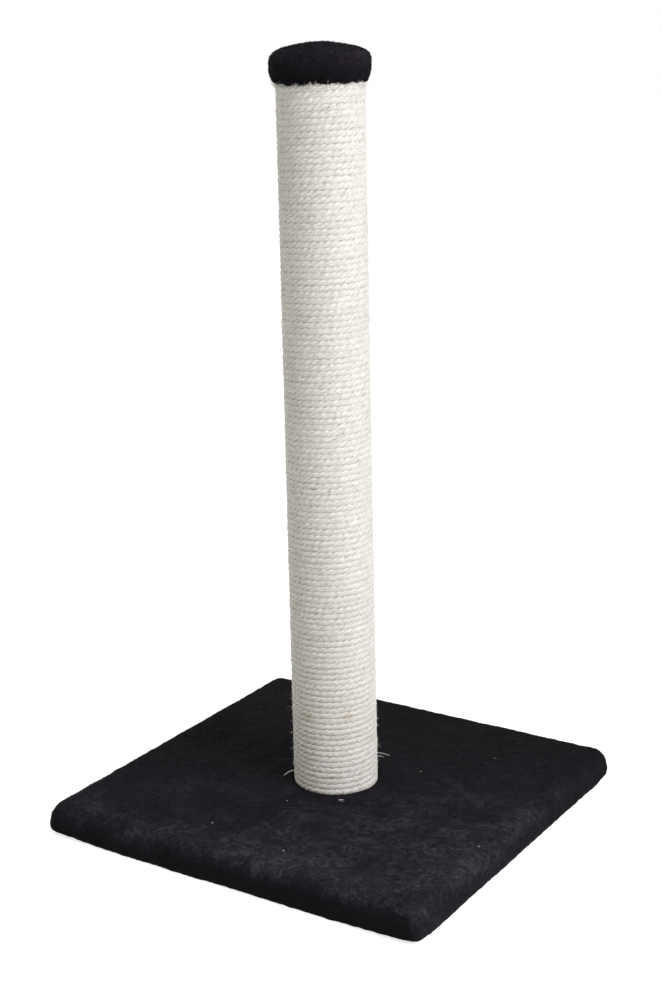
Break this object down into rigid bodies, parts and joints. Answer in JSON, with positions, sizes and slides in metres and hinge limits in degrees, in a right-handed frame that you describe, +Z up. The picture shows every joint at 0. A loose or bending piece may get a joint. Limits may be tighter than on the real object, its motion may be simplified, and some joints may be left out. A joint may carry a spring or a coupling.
{
  "type": "cat scratching post",
  "caption": "Upright post wound with sisal rope on a flat plush-covered base, with a domed plush-covered cap on top.",
  "frame": {"origin": "the middle of the base's underside, on the floor", "axes": "+Z up along the post, +X along the base's longer side, -Y towards the front"},
  "size_m": [0.41, 0.39, 0.7334],
  "materials": {
    "black_plush": "short black velvety plush, matt, with brushed lighter patches",
    "sisal_rope": "off-white twisted sisal rope, dry and slightly silky, with loose fibres",
    "chipboard": "raw chipboard",
    "cardboard_tube": "plain brown spiral-wound cardboard",
    "wadding": "white polyester wadding",
    "zinc_steel": "bright zinc plate"
  },
  "bodies": {
    "root": {"base_board": "chipboard", "base_plush_cover": "black_plush", "base_washer": "zinc_steel", "base_bolt": "zinc_steel", "post_tube": "cardboard_tube", "bottom_plug": "chipboard", "top_plug": "chipboard", "bottom_tee_nut": "zinc_steel", "top_tee_nut": "zinc_steel", "sisal_rope": "sisal_rope", "cap_disc": "chipboard", "cap_wadding": "wadding", "cap_plush_cover": "black_plush", "cap_stud": "zinc_steel", "base_staple_back_1": "zinc_steel", "base_staple_back_2": "zinc_steel", "base_staple_back_3": "zinc_steel", "base_staple_back_4": "zinc_steel", "base_staple_front_1": "zinc_steel", "base_staple_front_2": "zinc_steel", "base_staple_front_3": "zinc_steel", "base_staple_front_4": "zinc_steel", "base_staple_left_1": "zinc_steel", "base_staple_left_2": "zinc_steel", "base_staple_left_3": "zinc_steel", "base_staple_left_4": "zinc_steel", "base_staple_right_1": "zinc_steel", "base_staple_right_2": "zinc_steel", "base_staple_right_3": "zinc_steel", "base_staple_right_4": "zinc_steel", "bottom_plug_staple_1": "zinc_steel", "bottom_plug_staple_2": "zinc_steel", "bottom_plug_staple_3": "zinc_steel", "bottom_plug_staple_4": "zinc_steel", "cap_staple_1": "zinc_steel", "cap_staple_2": "zinc_steel", "cap_staple_3": "zinc_steel", "cap_staple_4": "zinc_steel", "cap_staple_5": "zinc_steel", "cap_staple_6": "zinc_steel", "rope_end_staple_bottom": "zinc_steel", "rope_end_staple_top": "zinc_steel", "top_plug_staple_1": "zinc_steel", "top_plug_staple_2": "zinc_steel", "top_plug_staple_3": "zinc_steel", "top_plug_staple_4": "zinc_steel"}
  },
  "joints": []
}
